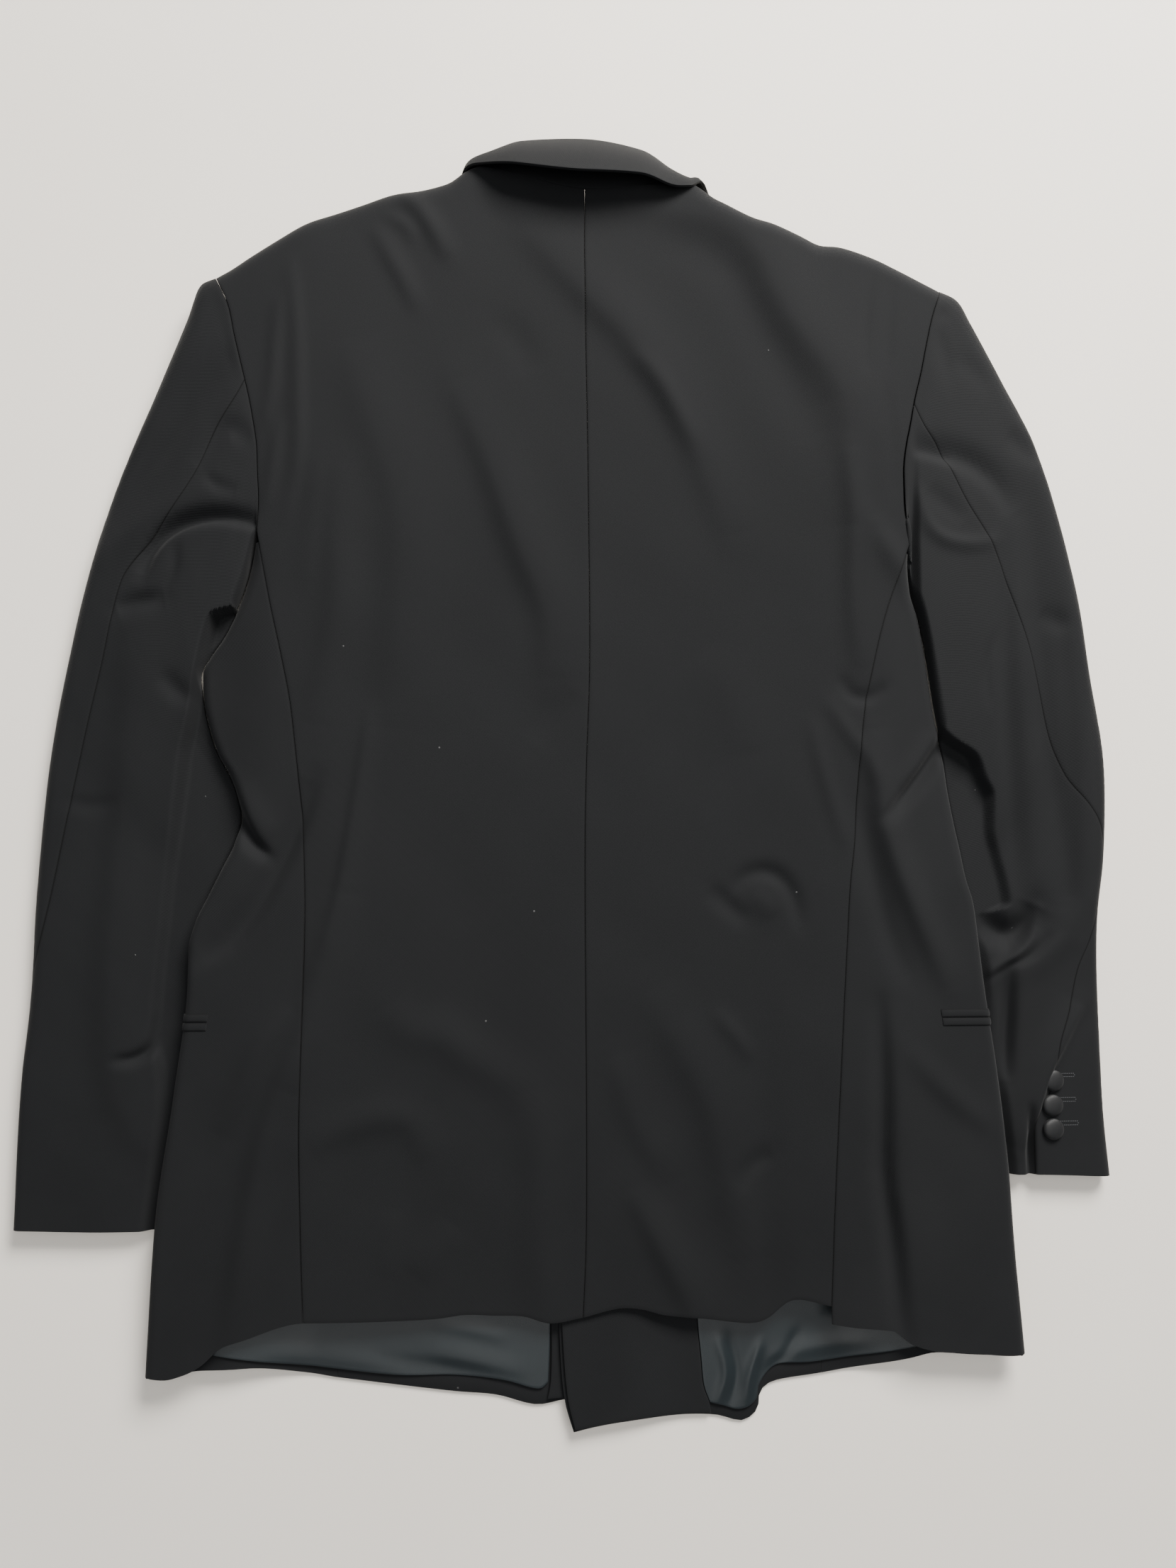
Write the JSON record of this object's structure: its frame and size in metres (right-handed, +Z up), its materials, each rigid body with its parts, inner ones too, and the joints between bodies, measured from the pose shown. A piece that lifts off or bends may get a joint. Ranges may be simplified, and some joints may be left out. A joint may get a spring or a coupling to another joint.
{
  "type": "tuxedo jacket",
  "caption": "Black dinner jacket laid face down: centre-seamed back, side panels, two-piece sleeves, raised collar leaf, covered cuff buttons, jetted pockets, satin lining at the hem.",
  "frame": {"origin": "middle of the underside, where the jacket lies on the surface", "axes": "+Z up from the surface, +Y towards the collar, +X towards the wearer's right"},
  "size_m": [0.755, 0.9092, 0.046],
  "materials": {
    "wool": "fine black wool twill",
    "lapel_satin": "black satin",
    "lining": "slate-blue satin lining",
    "button_cloth": "cloth-covered button"
  },
  "bodies": {
    "root": {"back_left": "wool", "back_right": "wool", "side_left": "wool", "side_right": "wool", "front_left": "wool", "front_right": "wool", "top_sleeve_left": "wool", "top_sleeve_right": "wool", "under_sleeve_left": "wool", "under_sleeve_right": "wool", "collar_stand": "wool", "collar_leaf": "wool", "lapel_left": "lapel_satin", "lapel_right": "lapel_satin", "lining_left": "lining", "lining_right": "lining", "facing_left": "wool", "facing_right": "wool", "pocket_jet_upper_left": "wool", "pocket_jet_lower_left": "wool", "pocket_jet_upper_right": "wool", "pocket_jet_lower_right": "wool", "cuff_button_1_left": "button_cloth", "cuff_button_2_left": "button_cloth", "cuff_button_3_left": "button_cloth", "cuff_button_1_right": "button_cloth", "cuff_button_2_right": "button_cloth", "cuff_button_3_right": "button_cloth", "front_button": "button_cloth"}
  },
  "joints": []
}
